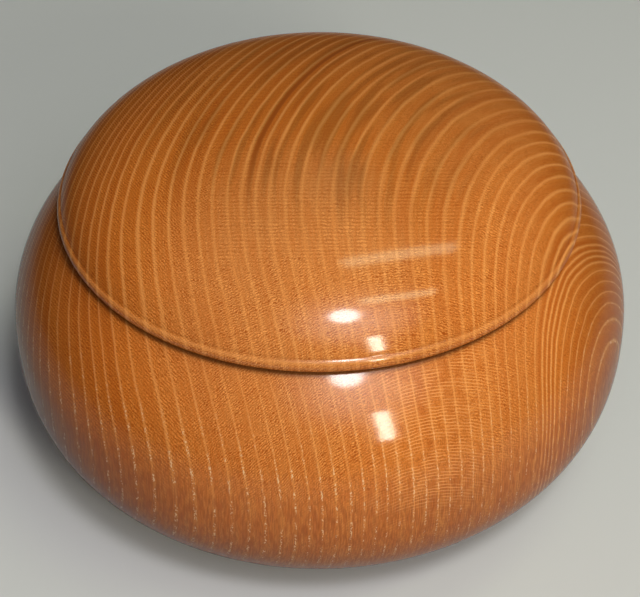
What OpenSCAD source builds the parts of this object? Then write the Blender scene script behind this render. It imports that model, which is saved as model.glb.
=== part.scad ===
// Turned wooden bowl for game stones, with a domed lid that lifts off.
// Units are millimetres, +Z is up, and the origin is the middle of the foot's resting plane.

/* [Bowl] */
// Greatest diameter, at the belly
belly_d = 150; // [130:1:180]
// Height of the greatest diameter above the table
belly_h = 41; // [32:1:55]
// Diameter of the flat foot
foot_d = 66; // [46:1:90]
// Diameter of the shoulder, where the flat seat for the lid begins
shoulder_d = 117; // [104:1:124]
// Height of the seat above the table
seat_h = 71.75; // [62:0.25:84]
// Fullness of the curve from foot to belly, where 2 is an ellipse
lower_fullness = 2.6; // [2:0.05:3.2]
// Fullness of the curve from belly to shoulder, where 2 is an ellipse
upper_fullness = 2.1; // [1.8:0.05:2.8]
// Radius of the round on the shoulder's edge
shoulder_round = 2; // [0.5:0.25:4]

/* [Hollow] */
// Thickness of the wall at the belly
wall = 8; // [5:0.5:12]
// Thickness of the floor in the middle
floor_t = 9; // [6:0.5:14]
// Fullness of the hollow's curves, where 2 is an ellipse
hollow_fullness = 2.3; // [2:0.05:2.8]
// Straight length of the mouth below the top of the lip
mouth_len = 8; // [5:0.5:12]
// Diameter of the shallow recess turned under the foot
recess_d = 48; // [30:1:56]
// Depth of the recess under the foot
recess_depth = 1.2; // [0.5:0.1:2.5]

/* [Lip] */
// Width of the flat seat ring that carries the lid
seat_w = 4; // [3:0.25:6]
// Thickness of the lip that stands up inside the lid
lip_t = 4; // [3:0.25:6]
// Height of the lip above the seat
lip_h = 4; // [2.5:0.25:6]
// Radius of the round on both edges of the lip
lip_round = 1.2; // [0.4:0.1:1.4]

/* [Lid] */
// Height of the lid above the seat
lid_h = 26.75; // [20:0.25:34]
// How far the lid's rim stands out past the shoulder
lid_brim = 3.75; // [2.5:0.25:8]
// Radius of the round bead along the rim
bead_r = 2; // [1.5:0.1:2.6]
// How far inside the rim the crown meets the bead
crown_in = 0.95; // [0.6:0.05:1.4]
// How far past the rim the crown's curve would reach if it went on down
crown_over = 0.45; // [0:0.05:1.5]
// Radius of the small hollow between the bead and the crown
cove_r = 0.6; // [0.3:0.1:1.5]
// Thickness of the crown in the middle
crown_t = 7.5; // [5:0.5:10]
// Gap all round between the lid and the lip
lip_gap = 0.4; // [0.3:0.05:0.8]
// Gap between the top of the lip and the lid
lip_top_gap = 0.6; // [0.4:0.1:1.2]
// Chamfer on the mouth of the lid's recess
lid_chamfer = 0.6; // [0.2:0.1:1]

/* [Hidden] */
// Straight pieces that a long curve and a small round are drawn in
curve_steps = 28;
round_steps = 6;
// Times that the search for the cove's end halves its range
halvings = 30;
$fn = 160;

// Bowl
belly_r = belly_d / 2;
foot_r = foot_d / 2;
shoulder_r = shoulder_d / 2;
recess_r = recess_d / 2;
lip_r = shoulder_r - seat_w;
mouth_r = lip_r - lip_t;
lip_top = seat_h + lip_h;
hollow_r = belly_r - wall;
neck_z = lip_top - mouth_len;

// Lid
lid_r = shoulder_r + lid_brim;
lid_top = seat_h + lid_h;
bead_centre = [lid_r - bead_r, seat_h + bead_r];
socket_r = lip_r + lip_gap;
socket_top = lip_top + lip_top_gap;
dish_r = mouth_r;
dish_h = lid_top - crown_t - socket_top;

// The crown is part of an ellipse a little wider than the rim, which meets the bead above its middle
crown_r = lid_r + crown_over;
crown_end = asin((lid_r - crown_in) / crown_r);
crown_foot = bead_centre[1] + sqrt(pow(bead_r, 2) - pow(bead_r - crown_in, 2));
crown_h = (lid_top - crown_foot) / (1 - cos(crown_end));

// Colour of the wood
wood = [0.71, 0.42, 0.18];

// Points of a circular arc from one angle to another
function arc(centre, r, from, to, steps = round_steps) =
    [for (i = [0 : steps]) let (a = from + (to - from) * i / steps) centre + r * [cos(a), sin(a)]];

// Points of a Lame curve from the greatest radius r at height z to the radius r_end at height z_end
function lame(r, z, r_end, z_end, n) =
    let (end = acos(pow(r_end / r, n / 2)), rise = (z_end - z) / pow(sin(end), 2 / n))
    [for (i = [0 : curve_steps]) let (a = end * i / curve_steps)
        [r * pow(cos(a), 2 / n), z + rise * pow(sin(a), 2 / n)]];

// The same points in the other order
function reversed(points) = [for (i = [len(points) - 1 : -1 : 0]) points[i]];

// Point on the crown at an angle from the middle, and the way it faces there
function crown_point(t) = [crown_r * sin(t), lid_top - crown_h * (1 - cos(t))];
function crown_normal(t) = let (v = [sin(t) / crown_r, cos(t) / crown_h]) v / norm(v);

// Centre of a cove circle that touches the crown at an angle
function cove_centre(t) = crown_point(t) + cove_r * crown_normal(t);

// Angle on the crown where the cove circle also touches the bead, halved in on between two angles
function cove_angle(low, high, left) =
    let (mid = (low + high) / 2, clear = norm(cove_centre(mid) - bead_centre) > bead_r + cove_r)
    left == 0 ? mid : clear ? cove_angle(mid, high, left - 1) : cove_angle(low, mid, left - 1);

// Direction of a vector, in degrees
function heading(v) = atan2(v[1], v[0]);

// Section of the bowl, from the foot up the outside, over the lip and down the hollow
module bowl_section() {
    outside = lame(belly_r, belly_h, shoulder_r, seat_h, upper_fullness);
    slope = heading(outside[curve_steps] - outside[curve_steps - 1]);
    edge = shoulder_round * tan((180 - slope) / 2);
    below_edge = [for (p = outside) if (p[1] < seat_h - edge * sin(slope)) p];
    polygon(concat(
        [[0, recess_depth], [recess_r - recess_depth, recess_depth], [recess_r, 0]],
        reversed(lame(belly_r, belly_h, foot_r, 0, lower_fullness)),
        below_edge,
        arc([shoulder_r - edge, seat_h - shoulder_round], shoulder_round, slope - 90, 90),
        [[lip_r, seat_h]],
        arc([lip_r, lip_top] - lip_round * [1, 1], lip_round, 0, 90),
        arc([mouth_r, lip_top] + lip_round * [1, -1], lip_round, 90, 180),
        reversed(lame(hollow_r, belly_h, mouth_r, neck_z, hollow_fullness)),
        lame(hollow_r, belly_h, 0, floor_t, hollow_fullness)));
}

// Section of the lid, from the top of the crown out to the bead and back along the hollow side
module lid_section() {
    touch = cove_angle(0, crown_end, halvings);
    cove = cove_centre(touch);
    to_crown = heading(-crown_normal(touch));
    to_bead = heading(bead_centre - cove);
    polygon(concat(
        [for (i = [0 : curve_steps]) crown_point(touch * i / curve_steps)],
        arc(cove, cove_r, to_crown, to_bead),
        arc(bead_centre, bead_r, heading(cove - bead_centre), -90, 2 * round_steps),
        [[socket_r + lid_chamfer, seat_h], [socket_r, seat_h + lid_chamfer], [socket_r, socket_top]],
        [for (i = [0 : curve_steps])
            [dish_r * cos(90 * i / curve_steps), socket_top + dish_h * sin(90 * i / curve_steps)]]));
}

// Turned bowl with a hollow for the stones, a seat for the lid and a lip
module bowl_body() {
    color(wood) rotate_extrude() bowl_section();
}

// Domed lid with a beaded rim, a recess for the lip and a dished underside
module lid() {
    color(wood) rotate_extrude() lid_section();
}

bowl_body();
lid();
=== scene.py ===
"""Looks of a turned wooden bowl for game stones, with a domed lid that lifts off.

The pieces' sizes are in millimetres and become metres where a mesh is made. Both pieces are cut from one
block of wood, so one solid grain runs through them: upright fibres, with growth rings round a pith that
lies outside the block.
"""

from __future__ import annotations

import logging
import math
from dataclasses import dataclass, field
from enum import Enum
from typing import Any, Union

import bmesh
import bpy
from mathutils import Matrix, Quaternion, Vector


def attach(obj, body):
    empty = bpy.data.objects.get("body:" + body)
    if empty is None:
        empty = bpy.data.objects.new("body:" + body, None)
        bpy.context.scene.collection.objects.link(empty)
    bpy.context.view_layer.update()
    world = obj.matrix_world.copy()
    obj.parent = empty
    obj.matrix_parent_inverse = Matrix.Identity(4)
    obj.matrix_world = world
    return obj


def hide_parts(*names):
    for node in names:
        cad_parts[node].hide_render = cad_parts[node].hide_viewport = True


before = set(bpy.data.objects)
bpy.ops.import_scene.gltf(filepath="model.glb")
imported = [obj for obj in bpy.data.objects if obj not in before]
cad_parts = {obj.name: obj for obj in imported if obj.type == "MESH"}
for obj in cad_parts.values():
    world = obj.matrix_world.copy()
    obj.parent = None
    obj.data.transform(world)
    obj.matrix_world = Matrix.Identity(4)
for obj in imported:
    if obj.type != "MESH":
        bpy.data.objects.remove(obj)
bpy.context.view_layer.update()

log = logging.getLogger("bowl")

# A millimetre in metres, and the middle of a noise, of a ring or of a lamp
MM = 0.001
HALF = 0.5

Point = tuple[float, float]
Colour = tuple[float, float, float]
Socket = bpy.types.NodeSocket
Number = Union["Value", float]


class Piece(Enum):
    """The two turned pieces, by the names of their solids."""

    BOWL = "bowl_body"
    LID = "lid"


class Body(Enum):
    """The moving bodies that the pieces ride on."""

    BOWL = "bowl"
    LID = "lid"


class Slot(Enum):
    """Finishes that the record names."""

    WOOD = "turned_wood"


@dataclass(frozen=True)
class Fade:
    """A smooth step: 0 at its start and 1 at its end, which may be the lower number."""

    start: float
    end: float


class Value:
    """A number that varies over a surface: one output socket, with sums written as Math nodes."""

    def __init__(self, sheet: NodeSheet, socket: Socket) -> None:
        """Keep the socket that gives the number and the sheet that adds nodes after it."""
        self.sheet = sheet
        self.socket = socket

    def __add__(self, other: Number) -> Value:
        """This number plus another."""
        return self.sheet.math("ADD", self, other)

    def __sub__(self, other: Number) -> Value:
        """This number less another."""
        return self.sheet.math("SUBTRACT", self, other)

    def __rsub__(self, other: Number) -> Value:
        """Another number less this one."""
        return self.sheet.math("SUBTRACT", other, self)

    def __mul__(self, other: Number) -> Value:
        """This number times another."""
        return self.sheet.math("MULTIPLY", self, other)

    def __truediv__(self, other: Number) -> Value:
        """This number divided by another."""
        return self.sheet.math("DIVIDE", self, other)

    __radd__ = __add__
    __rmul__ = __mul__


class NodeSheet:
    """The nodes of one material, world or lamp."""

    def __init__(self, owner: bpy.types.ID) -> None:
        """Empty the tree that the nodes go into.

        Args:
            owner: the material, world or lamp.
        """
        owner.use_nodes = True
        self.tree = owner.node_tree
        self.tree.nodes.clear()

    def node(
        self,
        kind: str,
        settings: dict[str, Any] | None = None,
        inputs: dict[str | int, Any] | None = None,
    ) -> bpy.types.Node:
        """Add one node.

        Args:
            kind: the node's type.
            settings: properties that are set first, with a ramp's stops under the name stops.
            inputs: values or links, by a socket's place, identifier or name.

        Returns:
            The new node.
        """
        made = self.tree.nodes.new(kind)
        for name, setting in (settings or {}).items():
            if name == "stops":
                self._set_stops(made.color_ramp, setting)
            else:
                setattr(made, name, setting)
        for key, value in (inputs or {}).items():
            self._feed(self._socket(made, key), value)
        return made

    @staticmethod
    def _set_stops(ramp: bpy.types.ColorRamp, stops: list[tuple[float, Colour]]) -> None:
        """Give a ramp its stops.

        Args:
            ramp: the ramp to fill.
            stops: place and colour of each stop, from low to high.
        """
        while len(ramp.elements) < len(stops):
            ramp.elements.new(1.0)
        for element, (place, colour) in zip(ramp.elements, stops):
            element.position = place
            element.color = (*colour, 1.0)

    @staticmethod
    def _socket(made: bpy.types.Node, key: str | int) -> Socket:
        """Find an input.

        Args:
            made: the node.
            key: the input's place, identifier or name.

        Returns:
            The input.
        """
        if isinstance(key, int):
            return made.inputs[key]
        return next(s for s in made.inputs if key in (s.identifier, s.name))

    def _feed(self, socket: Socket, value: Any) -> None:
        """Link a socket to what feeds it, or set its own value.

        Args:
            socket: the input.
            value: another socket, a number or a colour.
        """
        if isinstance(value, Value):
            value = value.socket
        if isinstance(value, Socket):
            self.tree.links.new(value, socket)
        elif socket.type == "RGBA":
            socket.default_value = (*value, 1.0)
        else:
            socket.default_value = value

    def math(self, operation: str, *terms: Number) -> Value:
        """The result of one Math node."""
        made = self.node("ShaderNodeMath", {"operation": operation}, dict(enumerate(terms)))
        return Value(self, made.outputs[0])

    def tinted(self, colour: Socket, tint: Colour) -> Socket:
        """A colour times another."""
        inputs = {0: colour, 1: tint}
        return self.node("ShaderNodeVectorMath", {"operation": "MULTIPLY"}, inputs).outputs["Vector"]

    def scaled(self, colour: Any, factor: Number) -> Socket:
        """A colour or vector times a number."""
        inputs = {0: colour, "Scale": factor}
        return self.node("ShaderNodeVectorMath", {"operation": "SCALE"}, inputs).outputs["Vector"]

    def mixed(self, share: Number, low: Any, high: Any) -> Socket:
        """A colour between two others.

        Args:
            share: 0 for the first colour and 1 for the second.
            low: the first colour.
            high: the second colour.

        Returns:
            The mixed colour.
        """
        inputs = {"Factor_Float": share, "A_Color": low, "B_Color": high}
        made = self.node("ShaderNodeMix", {"data_type": "RGBA"}, inputs)
        return next(s for s in made.outputs if s.identifier == "Result_Color")

    def length(self, x: Value, y: Value) -> Value:
        """Length of a flat vector."""
        return self.math("SQRT", x * x + y * y)

    def step(self, value: Number, fade: Fade) -> Value:
        """A smooth step.

        Args:
            value: the number that passes over the step.
            fade: where the step starts and ends.

        Returns:
            0 up to the start and 1 from the end.
        """
        settings = {"interpolation_type": "SMOOTHSTEP"}
        inputs = {"Value": value, "From Min": fade.start, "From Max": fade.end}
        return Value(self, self.node("ShaderNodeMapRange", settings, inputs).outputs[0])

    def split(self, vector: Socket) -> tuple[Value, Value, Value]:
        """The three parts of a vector."""
        made = self.node("ShaderNodeSeparateXYZ", inputs={0: vector})
        return tuple(Value(self, out) for out in made.outputs)

    def noise(self, parts: tuple[Number, Number, Number], detail: float = 0.0) -> Value:
        """Noise over three coordinates, about half on average.

        Args:
            parts: coordinates, in units of the noise's own grain.
            detail: finer layers that are added.

        Returns:
            The noise.
        """
        vector = self.node("ShaderNodeCombineXYZ", inputs=dict(enumerate(parts))).outputs[0]
        inputs = {"Vector": vector, "Scale": 1.0, "Detail": detail}
        return Value(self, self.node("ShaderNodeTexNoise", inputs=inputs).outputs[0])

    def chance(self, value: Number) -> Value:
        """A number from 0 to 1 that is fixed for each value, such as a ring's count."""
        made = self.node("ShaderNodeTexWhiteNoise", {"noise_dimensions": "1D"}, {"W": value})
        return Value(self, made.outputs["Value"])


@dataclass(frozen=True)
class Wave:
    """A slow wave that bends the growth rings or changes their width, in millimetres and radians."""

    reach: float
    length: float
    phase: float
    heading: float = 0.0


@dataclass(frozen=True)
class Drift:
    """A slow noise in the block, by the size of its waves in millimetres."""

    level: float
    upright: float
    detail: float


class Axes(Enum):
    """Directions that the cells of a fine pattern lie along."""

    BLOCK = "right, back and up"
    TREE = "out, round and up"


@dataclass(frozen=True)
class Grain:
    """Cells of one fine pattern in the wood, in millimetres, and how strongly they show."""

    first: float
    second: float
    upright: float
    shows: Fade
    strength: float = 1.0
    axes: Axes = Axes.BLOCK


@dataclass(frozen=True)
class Spot:
    """A round patch of the plan, in millimetres, by its centre and its fading radii."""

    centre: Point
    fade: Fade


@dataclass(frozen=True)
class Zone:
    """A part of the block, by the steps in millimetres that shut it in.

    Its share is what it takes away where something shows less in it.
    """

    x: tuple[Fade, ...] = ()
    y: tuple[Fade, ...] = ()
    z: tuple[Fade, ...] = ()
    share: float = 1.0


class Place:
    """A point of the wood, in millimetres in the block and in the tree."""

    def __init__(self, sheet: NodeSheet, growth: Growth) -> None:
        """Read where the point lies.

        Args:
            sheet: the material's nodes.
            growth: the tree that the block is cut from.
        """
        given = sheet.node("ShaderNodeTexCoord").outputs
        self.sheet = sheet
        self.x, self.y, self.z = sheet.split(sheet.scaled(given["Object"], 1 / MM))
        self.lean = sheet.math("ABSOLUTE", sheet.split(given["Normal"])[2])
        self.across, self.around, self.rings = growth.find(self)

    def drift(self, drift: Drift) -> Value:
        """A slow noise at the point, about half on average."""
        parts = (self.x / drift.level, self.y / drift.level, self.z / drift.upright)
        return self.sheet.noise(parts, drift.detail)

    def cells(self, grain: Grain) -> Value:
        """How far the point lies in a cell of a fine pattern.

        Args:
            grain: the pattern.

        Returns:
            0 between the cells and 1 in their middles.
        """
        first, second = (self.x, self.y) if grain.axes is Axes.BLOCK else (self.across, self.around)
        parts = (first / grain.first, second / grain.second, self.z / grain.upright)
        return self.sheet.step(self.sheet.noise(parts), grain.shows)

    def spot(self, spot: Spot) -> Value:
        """How far the point lies in a round patch, from 0 to 1."""
        reach = self.sheet.length(self.x - spot.centre[0], self.y - spot.centre[1])
        return self.sheet.step(reach, spot.fade)

    def zone(self, zone: Zone) -> Value:
        """How far the point lies in a part of the block.

        Args:
            zone: the part.

        Returns:
            1 in the part and 0 outside it.
        """
        pairs = ((self.x, zone.x), (self.y, zone.y), (self.z, zone.z))
        steps = [self.sheet.step(value, fade) for value, fades in pairs for fade in fades]
        return math.prod(steps[1:], start=steps[0])

    def less(self, zones: tuple[Zone, ...]) -> Value:
        """What several zones leave of something: 1 outside all of them, and less by their shares inside."""
        left = [1.0 - zone.share * self.zone(zone) for zone in zones]
        return math.prod(left[1:], start=left[0])


@dataclass(frozen=True)
class Growth:
    """Growth rings round a pith that lies outside the block, in millimetres."""

    pith: Point = (119.2, -48.7)
    round_scale: float = 110.0
    sways: tuple[Wave, ...] = (Wave(7.75, 201.6, -2.07, -0.662), Wave(1.17, 100.5, -1.22, 1.338))
    wander: Drift = Drift(20.0, 60.0, 2.0)
    tremble: Drift = Drift(2.2, 9.0, 2.0)
    tremble_reach: float = 0.15
    ring_width: float = 2.671
    ring_start: float = -21.09
    jitter: float = 0.9
    jitter_length: float = 8.0
    jitter_detail: float = 1.0
    tight_until: float = 72.9
    tightness: float = 0.121
    swings: tuple[Wave, ...] = (Wave(1.2, 80.0, 4.32), Wave(0.94, 65.8, 5.27))
    crowd_at: float = 74.0
    crowd_reach: float = 2.8
    crowd_rings: float = 2.0

    def find(self, place: Place) -> tuple[Value, Value, Value]:
        """Find where a point lies in the tree.

        Args:
            place: the point, with its place in the block.

        Returns:
            Distance out from the pith with the rings' bends, distance round it, and the count of rings.
        """
        sheet = place.sheet
        out_x = place.x - self.pith[0]
        out_y = place.y - self.pith[1]
        around = sheet.math("ARCTAN2", out_y, -1.0 * out_x) * self.round_scale
        wander = place.drift(self.wander) - HALF
        tremble = (place.drift(self.tremble) - HALF) * self.tremble_reach
        bent = sheet.length(out_x, out_y) + wander + tremble
        for sway in self.sways:
            pace = 2 * math.pi / sway.length
            run = place.x * (math.cos(sway.heading) * pace) + place.y * (math.sin(sway.heading) * pace)
            bent = bent + sheet.math("COSINE", run + sway.phase) * sway.reach
        rings = bent / self.ring_width + self.ring_start
        jitter = sheet.noise((bent / self.jitter_length, HALF, HALF), self.jitter_detail) - HALF
        rings = rings + jitter * self.jitter
        rings = rings - sheet.math("MAXIMUM", self.tight_until - bent, 0.0) * self.tightness
        crowd = Fade(self.crowd_at + self.crowd_reach, self.crowd_at - self.crowd_reach)
        rings = rings - sheet.step(bent, crowd) * self.crowd_rings
        for swing in self.swings:
            run = bent * (2 * math.pi / swing.length) + swing.phase
            rings = rings + sheet.math("COSINE", run) * swing.reach
        return bent, around, rings


@dataclass(frozen=True)
class Ripples:
    """Fine ripple marks across the grain and wider rows of light flecks, in millimetres and degrees."""

    tilt: float = 40.0
    above: Fade = Fade(71.7, 71.8)
    wobble: Drift = Drift(2.5, 2.5, 1.0)
    jitter: Drift = Drift(0.55, 0.55, 0.0)
    shows: Fade = Fade(-0.8, 0.8)

    # Close marks, which rise on one side and fall on the other
    pitch: float = 0.68
    wobble_reach: float = 0.9
    jitter_reach: float = 0.75
    closer_above: float = 0.15
    slope: float = 0.85
    slope_less_above: float = 0.35
    bow: float = 0.0135
    bow_from: float = -8.0
    falling_pace: float = 0.75
    falling_share: float = 0.85
    meeting: Fade = Fade(-30.0, -4.0)
    meeting_sway: float = 20.0
    meeting_gain: float = 1.8

    # Level marks on the middle of the lid
    woven_pitch: float = 0.8
    woven_wobble: float = 0.7
    woven_jitter: float = 0.35
    woven_share: float = 0.31
    woven_front: Fade = Fade(-46.0, -32.0)
    woven_front_sway: float = 12.0
    woven_left: Fade = Fade(-26.0, -8.0)
    woven_left_sway: float = 16.0
    woven_right: Fade = Fade(46.0, 26.0)

    # Rows of light flecks
    row_pitch: float = 0.74
    row_wobble: float = 0.6
    row_slope: float = 0.9
    row_bow: float = 0.0155
    row_shows: Fade = Fade(0.1, 0.95)

    def marks(self, place: Place, cloud: Value) -> tuple[Value, Value]:
        """Work out the marks at a point.

        Args:
            place: the point.
            cloud: slow noise that makes the edges of each kind uneven.

        Returns:
            The close marks and the rows of flecks, each from 0 to 1.
        """
        sheet, x = place.sheet, place.x
        tilt = math.radians(self.tilt)
        level = place.y * math.sin(tilt) + place.z * math.cos(tilt)
        wobble = place.drift(self.wobble) - HALF
        jitter = place.drift(self.jitter) - HALF
        above = sheet.step(place.z, self.above)
        rise = level + wobble * self.wobble_reach + jitter * self.jitter_reach
        crossed = self._crossed(place, rise, above, cloud)
        woven_level = level + wobble * self.woven_wobble + jitter * self.woven_jitter
        woven = sheet.math("SINE", woven_level * (2 * math.pi / self.woven_pitch)) * self.woven_share
        middle = above * sheet.step(place.y + cloud * self.woven_front_sway, self.woven_front)
        middle = middle * sheet.step(x + cloud * self.woven_left_sway, self.woven_left)
        middle = middle * sheet.step(x, self.woven_right)
        ripple = sheet.step(crossed + (woven - crossed) * middle, self.shows)
        arch = level + wobble * self.row_wobble - x * self.row_slope + x * x * self.row_bow
        rows = sheet.math("SINE", arch * (2 * math.pi / self.row_pitch))
        return ripple, sheet.step(rows, self.row_shows)

    def _crossed(self, place: Place, rise: Value, above: Value, cloud: Value) -> Value:
        """Work out the close marks, which meet along an uneven line.

        Args:
            place: the point.
            rise: uneven height along the tilted direction that the marks repeat in.
            above: 0 on the bowl and 1 on the lid.
            cloud: slow noise that makes the meeting line uneven.

        Returns:
            Waves from about -1 to about 1.
        """
        sheet, x = place.sheet, place.x
        pace = (1.0 + above * self.closer_above) * (2 * math.pi / self.pitch)
        ahead = sheet.math("MAXIMUM", x, self.bow_from)
        bow = x * (self.slope - above * self.slope_less_above) - ahead * ahead * self.bow
        falling = sheet.math("SINE", (rise + x) * pace * self.falling_pace) * self.falling_share
        rising = sheet.math("SINE", (rise - bow) * pace)
        side = sheet.step(x + cloud * self.meeting_sway, self.meeting)
        gain = 1.0 + self.meeting_gain * side * (1.0 - side)
        return (falling + (rising - falling) * side) * gain


@dataclass(frozen=True)
class RingColours:
    """Colours across one ring: a light line, then dark wood that grows paler up to the next line."""

    line: Colour = (0.88, 0.36, 0.096)
    dark: Colour = (0.76, 0.245, 0.036)
    mid: Colour = (0.855, 0.298, 0.05)
    deep_tint: Colour = (0.72, 0.5, 0.32)
    places: tuple[float, ...] = (0.0, 0.035, 0.15, 0.45, 0.85, 0.965)
    clear_chance: float = 0.4
    deep_chance: float = 0.3

    def ring(self, sheet: NodeSheet, rings: Value, bold: Value) -> Socket:
        """Colour one ring, a little unlike the next.

        Args:
            sheet: the material's nodes.
            rings: the count of rings.
            bold: how clearly the rings show.

        Returns:
            The colour.
        """
        colours = (self.line, self.line, self.dark, self.dark, self.mid, self.line)
        stops = list(zip(self.places, colours))
        count = sheet.math("FLOOR", rings)
        ramp = sheet.node("ShaderNodeValToRGB", {"stops": stops}, {0: sheet.math("FRACT", rings)})
        clear = bold * (1.0 - self.clear_chance * sheet.chance(count))
        colour = sheet.mixed(clear, self.mid, ramp.outputs["Color"])
        deep = sheet.tinted(colour, self.deep_tint)
        return sheet.mixed(sheet.chance(count + HALF) * self.deep_chance, colour, deep)


@dataclass(frozen=True)
class RimShadowsAndHighlight:
    """Painted light round the lid's rim, in millimetres: a painted shadow under the bead at the seam, a
    painted highlight on the bead's top and painted shade in the cove.
    """

    rim: Fade = Fade(57.0, 58.0)
    # Painted shadow under the lid's bead, on the bead's underside and on the bowl's shoulder; it stays on
    # the shoulder when the lid is lifted
    seam_shadow: Zone = Zone(z=(Fade(72.7, 72.2), Fade(69.5, 70.5)))
    seam_shadow_out: Fade = Fade(59.2, 59.8)
    seam_shadow_share: float = 0.78
    seam_shadow_more: float = 0.1
    seam_shadow_above: Fade = Fade(71.6, 71.8)
    shadow_colour: Colour = (0.10, 0.03, 0.008)
    # Painted highlight on the bead's top
    bead: Zone = Zone(z=(Fade(74.2, 74.8), Fade(75.4, 75.1)))
    bead_highlight_share: float = 0.3
    # Painted shade in the cove between the crown and the bead
    cove: Zone = Zone(z=(Fade(75.1, 75.5), Fade(76.1, 75.7)))
    cove_shade_share: float = 0.14

    def tinted(self, place: Place, colour: Socket, pale: Colour) -> Socket:
        """Paint a shadow under the bead, shade in the cove and a highlight on the bead's top.

        Args:
            place: the point of the wood.
            colour: the wood's colour there.
            pale: colour of the painted highlight on the bead's top.

        Returns:
            The colour with the painted shadow, shade and highlight.
        """
        sheet = place.sheet
        radius = sheet.length(place.x, place.y)
        rim = sheet.step(radius, self.rim)
        # Painted shadow under the bead, on its underside and on the bowl's shoulder below it, a little
        # stronger on the lid
        seam_shadow = place.zone(self.seam_shadow) * sheet.step(radius, self.seam_shadow_out)
        seam_shadow = seam_shadow * (self.seam_shadow_share + self.seam_shadow_more * sheet.step(place.z, self.seam_shadow_above))
        # Painted highlight on the bead's top
        colour = sheet.mixed(place.zone(self.bead) * rim * self.bead_highlight_share, colour, pale)
        # Painted shade in the cove, taken together with the painted shadow under the bead
        painted_shade = sheet.math("MAXIMUM", seam_shadow, place.zone(self.cove) * self.cove_shade_share)
        return sheet.mixed(painted_shade * rim, colour, self.shadow_colour)


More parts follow.
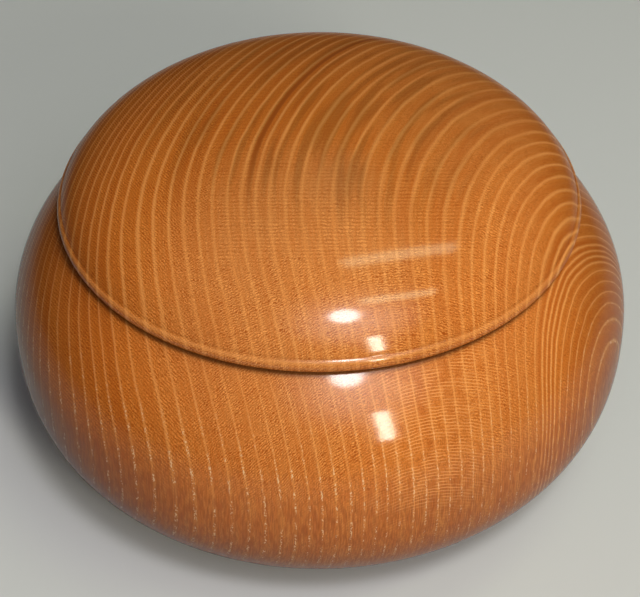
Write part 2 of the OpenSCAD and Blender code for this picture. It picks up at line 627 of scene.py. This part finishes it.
@dataclass(frozen=True)
class TurnedWood:
    """Ring-porous hardwood under a gloss coat. Lengths are in millimetres, colours in linear light."""

    growth: Growth = Growth()
    ripples: Ripples = Ripples()
    rings: RingColours = RingColours()
    # Painted shadow, painted shade and a painted highlight round the lid's rim
    rim: RimShadowsAndHighlight = RimShadowsAndHighlight()

    # Parts of the block
    low: Zone = Zone(z=(Fade(58.0, 26.0),))
    foot: Zone = Zone(z=(Fade(53.0, 41.0),))
    walls: Zone = Zone(z=(Fade(71.0, 56.0),))
    lidded: Zone = Zone(z=(Fade(71.0, 72.0),))
    crown: Zone = Zone(z=(Fade(76.0, 82.0),))
    left: Zone = Zone(x=(Fade(10.0, -60.0),))
    right: Zone = Zone(x=(Fade(-10.0, 35.0),))
    arches: Zone = Zone(x=(Fade(46.0, 56.0),))
    flecked: Zone = Zone(
        x=(Fade(6.0, 18.0), Fade(46.0, 28.0)),
        y=(Fade(-20.0, -40.0),),
        z=(Fade(71.5, 68.0), Fade(33.0, 46.0)),
    )
    faint: Spot = Spot((-5.0, -45.0), Fade(45.0, 12.0))
    upright: Fade = Fade(0.75, 0.25)

    # Places across one ring, from 0 in its middle to a half on its lines
    lined: Fade = Fade(0.15, 0.4)
    broad: Fade = Fade(0.3, 0.44)
    near_line: Fade = Fade(0.4, 0.47)

    # How clearly the rings show
    faint_loss: float = 0.5
    low_loss: float = 0.85
    right_loss: float = 0.3
    flecked_gain: float = 0.5
    faint_pale: float = 0.7
    right_pale: float = 0.3
    arches_pale: float = 0.2
    pale_colour: Colour = (0.82, 0.36, 0.115)
    crowded: Fade = Fade(3.6, 1.8)
    crowded_share: float = 0.6
    flecked_lines: float = 0.4
    broad_lines: float = 0.5

    # Ripple marks, rows and fine bands
    patches: tuple[Grain, ...] = (
        Grain(0.6, 0.6, 0.6, Fade(0.35, 0.55), 0.7),
        Grain(3.0, 3.0, 5.0, Fade(0.35, 0.55), 0.5),
    )
    calm: tuple[Zone, ...] = (
        Zone(x=(Fade(-30.0, -10.0),), y=(Fade(-34.0, -2.0),), share=0.8),
        Zone(x=(Fade(36.0, 50.0),), share=0.6),
    )
    flecked_calm: float = 0.5
    foot_calm: float = 0.75
    line_plain: float = 0.7
    broad_plain: float = 0.7
    crowded_plain: float = 0.4
    ripple_base: float = 0.45
    ripple_contrast: float = 1.25
    ripple_tint: Colour = (0.52, 0.30, 0.17)
    bands: Grain = Grain(0.42, 8.0, 14.0, Fade(0.35, 0.65), 0.4, Axes.TREE)
    row_gaps: float = 0.3
    rays: Grain = Grain(2.6, 4.0, 2.6, Fade(0.26, 0.6), 0.68, Axes.TREE)
    ray_colour: Colour = (0.86, 0.36, 0.11)
    streaks: Grain = Grain(0.3, 1.5, 4.0, Fade(0.35, 0.6), 0.75, Axes.TREE)
    streak_base: float = 0.8

    # Slow cloudy changes of tone, and painted shade: darker towards the low, right and left sides and the
    # lid's back, deeper towards the left
    cloud: Drift = Drift(24.0, 60.0, 2.0)
    cloud_base: float = 0.92
    cloud_reach: float = 0.16
    # Painted shade: the wood darker towards the low sides, the right, the left, the low left and the lid's
    # back
    painted_shade_zones: tuple[Zone, ...] = (
        Zone(z=(Fade(46.0, 8.0),), share=0.3),
        Zone(x=(Fade(52.0, 72.0),), share=0.24),
        Zone(x=(Fade(-48.0, -74.0),), share=0.34),
        Zone(x=(Fade(-20.0, -50.0),), z=(Fade(62.0, 36.0),), share=0.18),
        Zone(y=(Fade(-20.0, 15.0), Fade(52.0, 34.0)), z=(Fade(71.0, 72.0),), share=0.05),
    )
    # Painted shade: a deeper, darker tint towards the left side, a little less on the lid
    left_painted_shade: float = 0.2
    left_painted_shade_less_above: float = 0.05

    # Pores, vessels and stains
    pores: Grain = Grain(0.24, 0.24, 2.4, Fade(0.5, 0.64), 0.4)
    pore_colour: Colour = (0.30, 0.068, 0.009)
    pore_bump: float = 0.15
    pore_depth: float = 0.2
    smudges: Grain = Grain(1.4, 20.0, 40.0, Fade(0.46, 0.7), 0.5, Axes.TREE)
    smudge: Spot = Spot((0.0, 4.0), Fade(50.0, 26.0))
    smudge_base: float = 0.16
    smudge_tint: Colour = (0.57, 0.60, 0.58)
    stain: Spot = Spot((-2.0, 12.0), Fade(46.0, 24.0))
    stain_ring: float = 28.6
    stain_fade: Fade = Fade(0.26, 0.08)
    stain_share: float = 0.95
    smoke: Spot = Spot((4.0, -23.0), Fade(13.0, 1.0))
    smoke_share: float = 0.2
    smoke_colour: Colour = (0.40, 0.17, 0.06)
    vessels: Grain = Grain(0.26, 0.26, 0.55, Fade(0.54, 0.62), 0.95)
    gaps: Grain = Grain(1.6, 1.6, 2.4, Fade(0.42, 0.54))
    fewer_vessels: tuple[Zone, ...] = (Zone(x=(Fade(0.0, 40.0),), share=0.4),)
    vessel_colour: Colour = (0.86, 0.56, 0.30)

    # Surface
    roughness: float = 0.5
    specular: float = 0.0
    coat_weight: float = 0.6
    coat_roughness: float = 0.11
    coat_ior: float = 1.5

    def material(self) -> bpy.types.Material:
        """Write the wood as a material.

        Returns:
            The material, which both pieces share.
        """
        made = bpy.data.materials.new("turned_wood_gloss")
        sheet = NodeSheet(made)
        grain = WoodColour(self, Place(sheet, self.growth))
        relief = {"Strength": self.pore_bump, "Distance": self.pore_depth * MM, "Height": grain.pores}
        shader = sheet.node(
            "ShaderNodeBsdfPrincipled",
            inputs={
                "Base Color": grain.laid(),
                "Roughness": self.roughness,
                "Specular IOR Level": self.specular,
                "Coat Weight": self.coat_weight,
                "Coat Roughness": self.coat_roughness,
                "Coat IOR": self.coat_ior,
                "Normal": sheet.node("ShaderNodeBump", inputs=relief).outputs[0],
            },
        )
        sheet.node("ShaderNodeOutputMaterial", inputs={"Surface": shader.outputs[0]})
        return made


class WoodColour:
    """The wood's colour at a point, laid on step by step."""

    def __init__(self, wood: TurnedWood, place: Place) -> None:
        """Work out what several steps share, and lay on the rings.

        Args:
            wood: the finish.
            place: the point of the wood.
        """
        sheet = place.sheet
        self.wood = wood
        self.place = place
        self.sheet = sheet
        self.faint = place.spot(wood.faint)
        self.low = place.zone(wood.low)
        self.foot = place.zone(wood.foot)
        self.lidded = place.zone(wood.lidded)
        self.right = place.zone(wood.right)
        self.arches = place.zone(wood.arches)
        self.flecked = place.zone(wood.flecked)
        self.cloud = place.drift(wood.cloud)
        self.pores = place.cells(wood.pores)
        self.bold = self._bold()
        off_middle = sheet.math("ABSOLUTE", sheet.math("FRACT", place.rings) - HALF)
        self.lined = sheet.step(off_middle, wood.lined)
        self.near_line = sheet.step(off_middle, wood.near_line)
        self.broad = sheet.step(off_middle, wood.broad) * self.lidded * self.bold
        off_crowd = sheet.math("ABSOLUTE", place.across - wood.growth.crowd_at)
        self.crowded = sheet.step(off_crowd, wood.crowded)
        self.plain = self._plain()
        self.ripple, self.rows = wood.ripples.marks(place, self.cloud)
        self.colour = wood.rings.ring(sheet, place.rings, self.bold)
        self._lines()
        self.deep = self._tinted(wood.rings.deep_tint)

    def laid(self) -> Socket:
        """Lay on the other steps in order.

        Returns:
            The finished colour.
        """
        wood = self.wood
        self._ripples()
        self._shade()
        self._mix(self.pores * self.plain * wood.pores.strength, wood.pore_colour)
        rays = self.place.cells(wood.rays) * self.rows * self.flecked
        self._mix(rays * wood.rays.strength, wood.ray_colour)
        self._stains()
        self._vessels()
        # Painted shadow under the bead, painted shade in the cove and a painted highlight on the bead's top
        return wood.rim.tinted(self.place, self.colour, wood.pale_colour)

    def _mix(self, share: Value, colour: Any) -> None:
        """Bring the colour nearer to another by a share."""
        self.colour = self.sheet.mixed(share, self.colour, colour)

    def _tinted(self, tint: Colour) -> Socket:
        """The colour so far, times a tint."""
        return self.sheet.tinted(self.colour, tint)

    def _bold(self) -> Value:
        """Work out how clearly the rings show.

        Returns:
            1 where they are clearest.
        """
        wood = self.wood
        smooth = 1.0 - self.arches
        bold = (1.0 - wood.faint_loss * self.faint) * (1.0 - wood.low_loss * self.low * smooth)
        bold = bold * (1.0 - wood.right_loss * self.right * smooth)
        return bold + (1.0 - bold) * self.flecked * wood.flecked_gain

    def _plain(self) -> Value:
        """Work out where the wood between the lines shows its fine marks.

        Returns:
            1 between the lines and less on them.
        """
        wood = self.wood
        line = self.sheet.math("MAXIMUM", self.near_line * self.bold, self.broad * wood.broad_plain)
        return (1.0 - wood.line_plain * line) * (1.0 - wood.crowded_plain * self.crowded)

    def _lines(self) -> None:
        """Lay on the paler parts and the stronger lines."""
        wood, line = self.wood, self.wood.rings.line
        right = self.right * (wood.right_pale - wood.arches_pale * self.arches)
        self._mix(self.sheet.math("MAXIMUM", self.faint * wood.faint_pale, right), wood.pale_colour)
        close = self.sheet.mixed(self.lined, self._tinted(wood.rings.deep_tint), line)
        self._mix(self.crowded * wood.crowded_share, close)
        self._mix(self.lined * self.flecked * wood.flecked_lines, line)
        self._mix(self.broad * wood.broad_lines, line)

    def _ripples(self) -> None:
        """Lay on the ripple marks, the fine bands and the streaks."""
        wood, place = self.wood, self.place
        patchy = place.less(wood.calm)
        patchy = patchy * (1.0 - wood.flecked_calm * self.flecked) * (1.0 - wood.foot_calm * self.foot)
        for patch in wood.patches:
            patchy = patchy * (1.0 - patch.strength * (1.0 - place.cells(patch)))
        dashes = wood.ripple_base + (HALF - self.ripple) * wood.ripple_contrast * patchy
        rippled = self._tinted(wood.ripple_tint)
        self._mix(dashes * self.plain, rippled)
        bands = (1.0 - place.cells(wood.bands)) * self.plain * (1.0 + self.low)
        self._mix(bands * wood.bands.strength, self.deep)
        self._mix((1.0 - self.rows) * self.flecked * self.plain * wood.row_gaps, self.deep)
        streaks = (wood.streak_base - place.cells(wood.streaks)) * self.foot
        self._mix(streaks * wood.streaks.strength, rippled)

    def _shade(self) -> None:
        """Lay on the slow cloudy changes of tone, then painted shade: darker at the left, right and low
        sides and the lid's back, and deeper towards the left.
        """
        wood = self.wood
        clouded = wood.cloud_base + self.cloud * wood.cloud_reach
        # Painted shade: darker towards the left, right and low sides and at the lid's back
        self.colour = self.sheet.scaled(self.colour, clouded * self.place.less(wood.painted_shade_zones))
        # Painted shade: a deeper, darker tint towards the left side, a little less on the lid
        left = self.place.zone(wood.left) * (wood.left_painted_shade - wood.left_painted_shade_less_above * self.lidded)
        self._mix(left, self.deep)

    def _stains(self) -> None:
        """Lay on the smudges, the dark streak and the smoky patch of the lid."""
        wood, place = self.wood, self.place
        middle = place.spot(wood.smudge) * place.zone(wood.crown)
        smudges = wood.smudge_base + place.cells(wood.smudges) * wood.smudges.strength
        self._mix(smudges * middle, self._tinted(wood.smudge_tint))
        off_ring = self.sheet.math("ABSOLUTE", place.rings - wood.stain_ring)
        stain = self.sheet.step(off_ring, wood.stain_fade) * place.spot(wood.stain)
        self._mix(stain * wood.stain_share, wood.pore_colour)
        self._mix(place.spot(wood.smoke) * wood.smoke_share, wood.smoke_colour)

    def _vessels(self) -> None:
        """Lay the light vessels on the lines of the walls."""
        wood, place = self.wood, self.place
        filled = place.cells(wood.vessels) * self.near_line * wood.vessels.strength
        filled = filled * self.sheet.step(place.lean, wood.upright) * place.zone(wood.walls)
        filled = filled * place.less(wood.fewer_vessels) * place.cells(wood.gaps)
        self._mix(filled, wood.vessel_colour)


def put_in_scene(shape: bmesh.types.BMesh, name: str) -> bpy.types.Object:
    """Make a shape into an object of the scene.

    Args:
        shape: the shape, which is freed.
        name: name of the object and of its mesh.

    Returns:
        The object.
    """
    mesh = bpy.data.meshes.new(name)
    shape.to_mesh(mesh)
    shape.free()
    made = bpy.data.objects.new(name, mesh)
    bpy.context.scene.collection.objects.link(made)
    return made


@dataclass
class Section:
    """Half the section of a turned piece, as points of radius and height in millimetres.

    An edge that is sharper than an angle in degrees is rounded.
    """

    points: list[Point] = field(default_factory=list)
    merge_below: float = 0.0005
    sharp_above: float = 28.0
    round_steps: int = 3
    round_profile: float = 0.5

    def corner(self, *points: Point) -> Section:
        """Add points with straight lines between them."""
        self.points.extend(points)
        return self

    def arc(self, centre: Point, radius: float, start: float, end: float, steps: int = 10) -> Section:
        """Add a circular arc.

        Args:
            centre: the circle's centre.
            radius: its radius.
            start: angle of the first point, in radians from straight out.
            end: angle of the last point.
            steps: straight pieces along the arc.

        Returns:
            This section.
        """
        for i in range(steps + 1):
            angle = start + (end - start) * i / steps
            out, up = radius * math.cos(angle), radius * math.sin(angle)
            self.points.append((centre[0] + out, centre[1] + up))
        return self

    def turned(self, name: str, steps: int, edge_round: float) -> bpy.types.Object:
        """Spin the section into a closed piece and soften its edges.

        Args:
            name: the piece's name.
            steps: faces round the axis.
            edge_round: how far a sharp edge is rounded.

        Returns:
            The piece, with its place in its mesh.
        """
        shape = bmesh.new()
        verts = [shape.verts.new((r * MM, 0.0, z * MM)) for r, z in self.points]
        edges = [shape.edges.new(pair) for pair in zip(verts, verts[1:])]
        bmesh.ops.spin(
            shape,
            geom=verts + edges,
            cent=(0.0, 0.0, 0.0),
            axis=(0.0, 0.0, 1.0),
            angle=2 * math.pi,
            steps=steps,
            use_merge=True,
        )
        bmesh.ops.remove_doubles(shape, verts=shape.verts, dist=self.merge_below * MM)
        bmesh.ops.recalc_face_normals(shape, faces=shape.faces)
        limit = math.radians(self.sharp_above)
        sharp = [e for e in shape.edges if e.calc_face_angle(0.0) > limit]
        bmesh.ops.bevel(
            shape,
            geom=sharp,
            offset=edge_round * MM,
            segments=self.round_steps,
            profile=self.round_profile,
            affect="EDGES",
            material=-1,
        )
        for face in shape.faces:
            face.smooth = True
        return put_in_scene(shape, name)


def lame(r: float, z: float, r_end: float, z_end: float, fullness: float, steps: int = 56) -> list[Point]:
    """Points of a Lame curve.

    Args:
        r: greatest radius, where the curve starts upright.
        z: height of the start.
        r_end: radius of the end.
        z_end: height of the end.
        fullness: 2 for an ellipse and more for a squarer curve.
        steps: straight pieces along the curve.

    Returns:
        The points, from the start to the end.
    """
    end = math.acos((r_end / r) ** (fullness / 2))
    rise = (z_end - z) / math.sin(end) ** (2 / fullness)
    angles = [end * i / steps for i in range(steps + 1)]
    power = 2 / fullness
    return [(r * math.cos(a) ** power, z + rise * math.sin(a) ** power) for a in angles]


def dress(
    made: bpy.types.Object, piece: Piece, body: Body, finish: bpy.types.Material
) -> bpy.types.Object:
    """Give a piece its finish, and set it in the place of its solid.

    Args:
        made: the new piece.
        piece: the solid that it stands for.
        body: the body that it rides on.
        finish: its material.

    Returns:
        The dressed piece.
    """
    made.data.materials.append(finish)
    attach(made, body.value)
    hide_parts(piece.value)
    return made


@dataclass
class BowlBody:
    """The turned bowl, with its foot, belly, shoulder, lip and hollow."""

    belly_r: float = 75.0
    belly_h: float = 41.0
    foot_r: float = 33.0
    shoulder_r: float = 58.5
    seat_h: float = 71.75
    lower_fullness: float = 2.6
    upper_fullness: float = 2.1
    shoulder_round: float = 2.0
    wall: float = 8.0
    floor_t: float = 9.0
    hollow_fullness: float = 2.3
    mouth_len: float = 8.0
    recess_r: float = 24.0
    recess_depth: float = 1.2
    seat_w: float = 4.0
    lip_t: float = 4.0
    lip_h: float = 4.0
    lip_round: float = 1.2
    edge_round: float = 0.4
    turn_steps: int = 192

    @property
    def lip_r(self) -> float:
        """Outer radius of the lip."""
        return self.shoulder_r - self.seat_w

    @property
    def mouth_r(self) -> float:
        """Radius of the mouth."""
        return self.lip_r - self.lip_t

    @property
    def lip_top(self) -> float:
        """Height of the lip's top."""
        return self.seat_h + self.lip_h

    def section(self) -> Section:
        """Draw the half section.

        Returns:
            The section, from under the foot up the outside, over the lip and down the hollow.
        """
        lower = lame(self.belly_r, self.belly_h, self.foot_r, 0.0, self.lower_fullness)
        upper = lame(self.belly_r, self.belly_h, self.shoulder_r, self.seat_h, self.upper_fullness)
        (r0, z0), (r1, z1) = upper[-2:]
        slope = math.atan2(z1 - z0, r1 - r0)
        edge = self.shoulder_round * math.tan((math.pi - slope) / 2)
        below_edge = [p for p in upper[1:] if p[1] < self.seat_h - edge * math.sin(slope)]
        hollow_r = self.belly_r - self.wall
        neck_z = self.lip_top - self.mouth_len
        neck = lame(hollow_r, self.belly_h, self.mouth_r, neck_z, self.hollow_fullness)
        well = lame(hollow_r, self.belly_h, 0.0, self.floor_t, self.hollow_fullness)
        inset = self.lip_round
        half = math.pi / 2
        drawn = Section()
        drawn.corner((0.0, self.recess_depth), (self.recess_r - self.recess_depth, self.recess_depth))
        drawn.corner((self.recess_r, 0.0), *reversed(lower), *below_edge)
        shoulder = (self.shoulder_r - edge, self.seat_h - self.shoulder_round)
        drawn.arc(shoulder, self.shoulder_round, slope - half, half)
        drawn.corner((self.lip_r, self.seat_h))
        drawn.arc((self.lip_r - inset, self.lip_top - inset), inset, 0.0, half)
        drawn.arc((self.mouth_r + inset, self.lip_top - inset), inset, half, 2 * half)
        return drawn.corner(*reversed(neck), *well[1:])

    def build(self, finish: bpy.types.Material) -> bpy.types.Object:
        """Make the bowl and give it its finish."""
        made = self.section().turned("turned_bowl", self.turn_steps, self.edge_round)
        return dress(made, Piece.BOWL, Body.BOWL, finish)


@dataclass
class Lid:
    """The turned lid, with its crown, cove, bead, recess and dished underside."""

    bowl: BowlBody
    lid_h: float = 26.75
    brim: float = 3.75
    bead_r: float = 2.0
    crown_in: float = 0.95
    crown_over: float = 0.45
    cove_r: float = 0.6
    crown_t: float = 7.5
    lip_gap: float = 0.4
    lip_top_gap: float = 0.6
    chamfer: float = 0.6
    edge_round: float = 0.25
    crown_steps: int = 72
    bead_steps: int = 20
    dish_steps: int = 40
    halvings: int = 40
    turn_steps: int = 192

    @property
    def radius(self) -> float:
        """Radius of the rim."""
        return self.bowl.shoulder_r + self.brim

    @property
    def top(self) -> float:
        """Height of the crown's middle."""
        return self.bowl.seat_h + self.lid_h

    @property
    def bead(self) -> Vector:
        """Centre of the bead's round section."""
        return Vector((self.radius - self.bead_r, self.bowl.seat_h + self.bead_r))

    @property
    def crown_r(self) -> float:
        """Greatest radius of the ellipse that the crown is part of."""
        return self.radius + self.crown_over

    @property
    def crown_end(self) -> float:
        """Angle where the crown would run into the bead."""
        return math.asin((self.radius - self.crown_in) / self.crown_r)

    @property
    def crown_h(self) -> float:
        """Height of the ellipse that the crown is part of."""
        foot = self.bead.y + math.sqrt(self.bead_r**2 - (self.bead_r - self.crown_in) ** 2)
        return (self.top - foot) / (1 - math.cos(self.crown_end))

    def crown(self, angle: float) -> Vector:
        """Point on the crown at an angle from the middle."""
        return Vector((self.crown_r * math.sin(angle), self.top - self.crown_h * (1 - math.cos(angle))))

    def facing(self, angle: float) -> Vector:
        """Way that the crown faces at an angle from the middle."""
        return Vector((math.sin(angle) / self.crown_r, math.cos(angle) / self.crown_h)).normalized()

    def cove(self, angle: float) -> Vector:
        """Centre of a cove circle that touches the crown at an angle."""
        return self.crown(angle) + self.cove_r * self.facing(angle)

    def cove_angle(self) -> float:
        """Find where the cove circle touches the crown and the bead.

        Returns:
            The angle on the crown.
        """
        low, high = 0.0, self.crown_end
        for _ in range(self.halvings):
            middle = (low + high) / 2
            if (self.cove(middle) - self.bead).length > self.bead_r + self.cove_r:
                low = middle
            else:
                high = middle
        return (low + high) / 2

    def section(self) -> Section:
        """Draw the half section.

        Returns:
            The section, from the crown's middle out to the bead and back along the underside.
        """
        touch = self.cove_angle()
        cove = self.cove(touch)
        to_crown = -self.facing(touch)
        to_bead = self.bead - cove
        socket_r = self.bowl.lip_r + self.lip_gap
        socket_top = self.bowl.lip_top + self.lip_top_gap
        dish_r = self.bowl.mouth_r
        dish_h = self.top - self.crown_t - socket_top
        seat_h = self.bowl.seat_h
        drawn = Section()
        drawn.corner(*(tuple(self.crown(touch * i / self.crown_steps)) for i in range(self.crown_steps)))
        cove_start = math.atan2(to_crown.y, to_crown.x)
        cove_end = math.atan2(to_bead.y, to_bead.x)
        drawn.arc(tuple(cove), self.cove_r, cove_start, cove_end)
        bead_start = math.atan2(-to_bead.y, -to_bead.x)
        drawn.arc(tuple(self.bead), self.bead_r, bead_start, -math.pi / 2, self.bead_steps)
        drawn.corner((socket_r + self.chamfer, seat_h), (socket_r, seat_h + self.chamfer))
        drawn.corner((socket_r, socket_top))
        for i in range(self.dish_steps + 1):
            angle = math.pi / 2 * i / self.dish_steps
            drawn.corner((dish_r * math.cos(angle), socket_top + dish_h * math.sin(angle)))
        return drawn

    def build(self, finish: bpy.types.Material) -> bpy.types.Object:
        """Make the lid and give it its finish."""
        made = self.section().turned("turned_lid", self.turn_steps, self.edge_round)
        return dress(made, Piece.LID, Body.LID, finish)


# Colours of the lamps
WHITE: Colour = (1.0, 1.0, 1.0)
WARM: Colour = (1.0, 0.97, 0.8)
TUBE: Colour = (0.9, 1.0, 0.62)


class LampShape(Enum):
    """Outlines of the lamps."""

    OVAL = "ELLIPSE"
    BOX = "RECTANGLE"


@dataclass(frozen=True)
class Stand:
    """A place above and to the right of the front view, in degrees, and its distance in metres."""

    elevation: float
    azimuth: float
    distance: float


@dataclass(frozen=True)
class Softbox:
    """A lamp that faces the bowl. Its turn is in degrees, lengths are in metres and power in watts."""

    name: str
    shape: LampShape
    stand: Stand
    width: float
    height: float
    power: float
    colour: Colour = WHITE
    turn: float = 0.0
    faded: bool = False


@dataclass
class Studio:
    """Floor, soft light and camera."""

    target: tuple[float, float, float] = (0.0, 0.0, 0.041)
    viewpoint: Stand = Stand(40.17, 0.0, 0.55)
    lens: float = 124.74
    sensor: float = 36.0
    shift: Point = (0.00084, 0.0014)
    roll: float = -0.2
    floor_r: float = 4.0
    floor_steps: int = 64
    floor_colour: Colour = (0.66, 0.66, 0.67)
    floor_roughness: float = 0.9
    floor_specular: float = 0.1
    floor_near: Fade = Fade(0.45, 0.12)
    bounce_colour: Colour = (0.1, 0.1, 0.1)
    glow_fade: Fade = Fade(HALF, 0.0)
    glow_gain: float = 5.8
    world_colour: Colour = (0.9, 0.95, 1.0)
    world_strength: float = 0.03
    lamps: tuple[Softbox, ...] = (
        Softbox("key", LampShape.OVAL, Stand(54.5, 13.6, 1.2), 0.2, 0.21, 3.7, turn=-8.0),
        Softbox("window", LampShape.BOX, Stand(24.0, 22.6, 1.2), 0.095, 0.38, 4.4, WARM),
        Softbox("strip_side", LampShape.BOX, Stand(69.6, 96.0, 1.6), 0.12, 0.88, 2.3, TUBE, 12.0),
        Softbox("strip_front", LampShape.BOX, Stand(58.1, 50.0, 1.6), 0.11, 0.68, 1.9, TUBE, 55.0),
        Softbox("glow", LampShape.OVAL, Stand(48.0, 18.0, 1.6), 2.2, 2.2, 10.5, faded=True),
    )

    def build(self) -> None:
        """Make the floor, the light and the camera."""
        self._floor()
        self._world()
        for lamp in self.lamps:
            self._lamp(lamp)
        self._camera()
        bpy.context.scene.view_settings.view_transform = "Standard"

    def _aim(self, data: bpy.types.ID, stand: Stand, turn: float) -> bpy.types.Object:
        """Set up a lamp or camera so that it looks at the target.

        Args:
            data: the lamp or camera.
            stand: where it stands.
            turn: degrees that it is turned about its own line of sight.

        Returns:
            The object.
        """
        e, a = math.radians(stand.elevation), math.radians(stand.azimuth)
        way = Vector((math.sin(a) * math.cos(e), -math.cos(a) * math.cos(e), math.sin(e)))
        target = Vector(self.target)
        made = bpy.data.objects.new(data.name, data)
        made.location = target + way * stand.distance
        made.rotation_mode = "QUATERNION"
        facing = (target - made.location).to_track_quat("-Z", "Y")
        made.rotation_quaternion = facing @ Quaternion((0.0, 0.0, 1.0), math.radians(turn))
        bpy.context.scene.collection.objects.link(made)
        return made

    def _floor(self) -> None:
        """Make the pale floor."""
        shape = bmesh.new()
        bmesh.ops.create_circle(shape, cap_ends=True, segments=self.floor_steps, radius=self.floor_r)
        floor = put_in_scene(shape, "floor")
        finish = bpy.data.materials.new("floor_pale")
        sheet = NodeSheet(finish)
        x, y, _ = sheet.split(sheet.node("ShaderNodeTexCoord").outputs["Object"])
        near = sheet.step(sheet.length(x, y), self.floor_near)
        rays = sheet.node("ShaderNodeLightPath").outputs
        glossy, through = (Value(sheet, rays[kind]) for kind in ("Is Glossy Ray", "Is Transmission Ray"))
        mirrored = sheet.math("MAXIMUM", glossy, through) * near
        seen = sheet.math("MAXIMUM", Value(sheet, rays["Is Camera Ray"]), mirrored)
        colour = sheet.mixed(seen, self.bounce_colour, self.floor_colour)
        inputs = {"Base Color": colour, "Roughness": self.floor_roughness}
        inputs["Specular IOR Level"] = self.floor_specular
        shader = sheet.node("ShaderNodeBsdfPrincipled", inputs=inputs)
        sheet.node("ShaderNodeOutputMaterial", inputs={"Surface": shader.outputs[0]})
        floor.data.materials.append(finish)

    def _world(self) -> None:
        """Make the even light all round."""
        world = bpy.data.worlds.new("studio")
        sheet = NodeSheet(world)
        inputs = {"Color": self.world_colour, "Strength": self.world_strength}
        light = sheet.node("ShaderNodeBackground", inputs=inputs)
        sheet.node("ShaderNodeOutputWorld", inputs={"Surface": light.outputs[0]})
        bpy.context.scene.world = world

    def _lamp(self, lamp: Softbox) -> None:
        """Hang one lamp.

        Args:
            lamp: its place, size and power.
        """
        light = bpy.data.lights.new(lamp.name, "AREA")
        light.shape = lamp.shape.value
        light.size = lamp.width
        light.size_y = lamp.height
        light.energy = lamp.power
        light.color = lamp.colour
        if lamp.faded:
            self._fade(light)
        self._aim(light, lamp.stand, lamp.turn)

    def _fade(self, light: bpy.types.AreaLight) -> None:
        """Let a lamp fade from its middle to its edge.

        Args:
            light: the lamp.
        """
        sheet = NodeSheet(light)
        u, v, _ = sheet.split(sheet.node("ShaderNodeNewGeometry").outputs["Parametric"])
        share = sheet.step(sheet.length(u - HALF, v - HALF), self.glow_fade)
        glow = sheet.node("ShaderNodeEmission", inputs={"Strength": share * share * self.glow_gain})
        sheet.node("ShaderNodeOutputLight", inputs={"Surface": glow.outputs[0]})

    def _camera(self) -> None:
        """Set the camera at the photograph's viewpoint."""
        data = bpy.data.cameras.new("camera")
        data.lens = self.lens
        data.sensor_width = self.sensor
        data.shift_x, data.shift_y = self.shift
        bpy.context.scene.camera = self._aim(data, self.viewpoint, self.roll)


def main() -> None:
    """Build the pieces and the studio, in order, and report each piece."""
    logging.basicConfig(level=logging.INFO, format="%(message)s")
    finish = TurnedWood().material()
    bowl = BowlBody()
    for turned in (bowl, Lid(bowl)):
        made = turned.build(finish)
        made.data.calc_loop_triangles()
        log.info("%s: %d triangles", made.name, len(made.data.loop_triangles))
    Studio().build()


if __name__ == "__main__":
    main()
